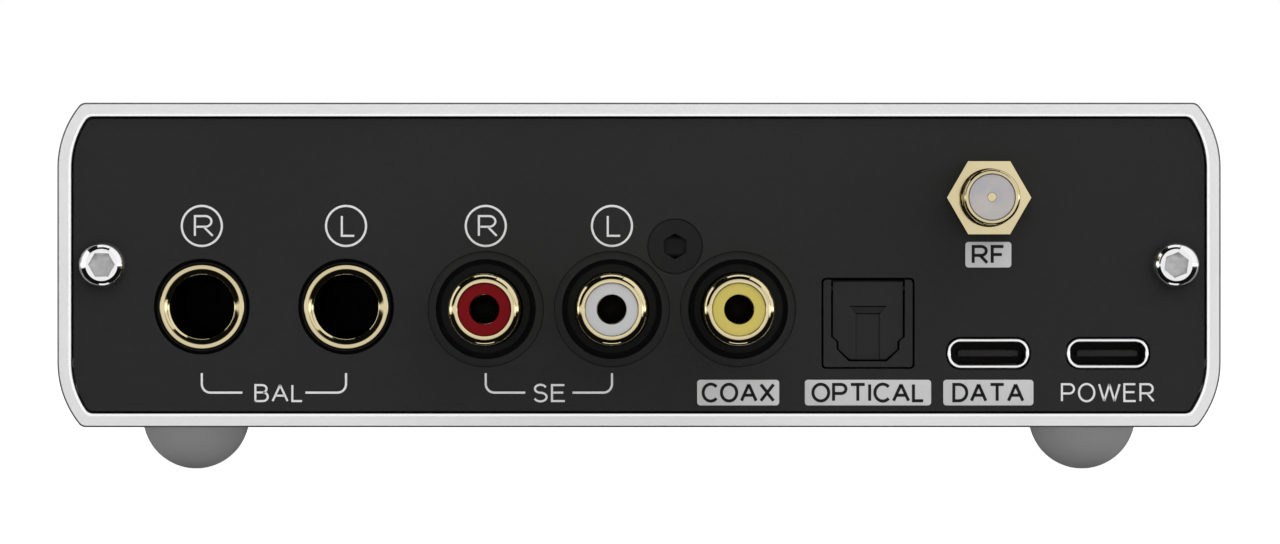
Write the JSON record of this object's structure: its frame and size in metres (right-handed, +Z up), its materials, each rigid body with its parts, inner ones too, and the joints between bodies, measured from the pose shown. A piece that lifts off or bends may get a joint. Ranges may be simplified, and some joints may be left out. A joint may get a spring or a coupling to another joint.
{
  "type": "desktop dac",
  "caption": "Small desktop audio converter in an extruded aluminium case, with rear jacks, digital inputs and an aerial socket, and a front knob.",
  "frame": {"origin": "on the surface the device stands on, under the middle of its overall box", "axes": "+Z up, +Y out of the rear connector panel, +X to the right as seen from the front"},
  "size_m": [0.129, 0.123, 0.0408],
  "materials": {
    "case_metal": "bead-blasted, clear anodised",
    "panel_metal": "satin black anodised aluminium, modelled as a dark painted metal",
    "smoked_acrylic": "polished, dark",
    "black_plastic": "moulded",
    "foot_rubber": "smooth, grey",
    "gold_plate": "pale gold plating",
    "bright_steel": "polished",
    "black_steel": "black oxide",
    "stainless": "fine brushed",
    "red_insulator": "moulded",
    "white_insulator": "moulded",
    "yellow_insulator": "moulded",
    "milky_plastic": "smooth",
    "board_laminate": "solder mask",
    "display_glass": "dark, unlit",
    "cable_jacket": "smooth",
    "ribbon_film": "film",
    "chip_resin": "moulded",
    "can_metal": "drawn",
    "knob_metal": "turned, clear anodised"
  },
  "bodies": {
    "device": {"case_shell": "case_metal", "rear_panel": "panel_metal", "front_fascia": "smoked_acrylic", "front_carrier": "black_plastic", "rear_case_screw_right": "bright_steel", "rear_case_screw_left": "bright_steel", "rear_centre_screw": "black_steel", "front_carrier_screw_right": "black_steel", "front_carrier_screw_left": "black_steel", "foot_rear_right": "foot_rubber", "foot_rear_left": "foot_rubber", "foot_front_right": "foot_rubber", "foot_front_left": "foot_rubber", "trs_right_housing": "black_plastic", "trs_right_ferrule": "gold_plate", "trs_right_tip_contact": "gold_plate", "trs_right_ring_contact": "gold_plate", "trs_left_housing": "black_plastic", "trs_left_ferrule": "gold_plate", "trs_left_tip_contact": "gold_plate", "trs_left_ring_contact": "gold_plate", "rca_block_housing": "black_plastic", "rca_right_barrel": "gold_plate", "rca_right_insulator": "red_insulator", "rca_right_centre_contact": "gold_plate", "rca_left_barrel": "gold_plate", "rca_left_insulator": "white_insulator", "rca_left_centre_contact": "gold_plate", "coax_barrel": "gold_plate", "coax_insulator": "yellow_insulator", "coax_centre_contact": "gold_plate", "optical_housing": "black_plastic", "optical_receiver": "chip_resin", "usb_data_shell": "stainless", "usb_data_tongue": "black_plastic", "usb_power_shell": "stainless", "usb_power_tongue": "black_plastic", "antenna_jack_body": "gold_plate", "antenna_jack_nut": "gold_plate", "antenna_jack_dielectric": "milky_plastic", "antenna_jack_pin": "gold_plate", "antenna_pigtail": "cable_jacket", "wireless_module": "stainless", "main_board": "board_laminate", "converter_chip": "chip_resin", "processor_chip": "chip_resin", "filter_capacitor_right": "can_metal", "filter_capacitor_left": "can_metal", "control_board": "board_laminate", "display_module": "display_glass", "ribbon_cable": "ribbon_film", "encoder_body": "stainless", "encoder_nut": "bright_steel", "button_switch_body": "black_plastic"},
    "shutter": {"optical_shutter": "black_plastic"},
    "knob_slide": {"encoder_push_rod": "black_plastic"},
    "knob": {"encoder_shaft": "stainless", "volume_knob": "knob_metal", "knob_grub_screw": "black_steel"},
    "button": {"input_button": "knob_metal"}
  },
  "joints": [
    {"name": "optical_shutter_hinge", "type": "hinge", "parent": "device", "child": "shutter", "pos_m": [-0.0254, 0.0517, 0.02026], "axis": [-1, 0, 0], "range_deg": [0, 80], "stiffness_Nm_per_rad": 0.0003, "springref_deg": -17.19},
    {"name": "knob_push", "type": "slide", "parent": "device", "child": "knob_slide", "axis": [0, 1, 0], "range_m": [0, 0.0005], "stiffness_N_per_m": 500, "springref_m": -0.002},
    {"name": "knob_turn", "type": "hinge", "parent": "knob_slide", "child": "knob", "pos_m": [0.044, -0.057, 0.02285], "axis": [0, 1, 0], "continuous": true},
    {"name": "input_button_press", "type": "slide", "parent": "device", "child": "button", "axis": [0, 1, 0], "range_m": [0, 0.0004], "stiffness_N_per_m": 300, "springref_m": -0.002}
  ]
}
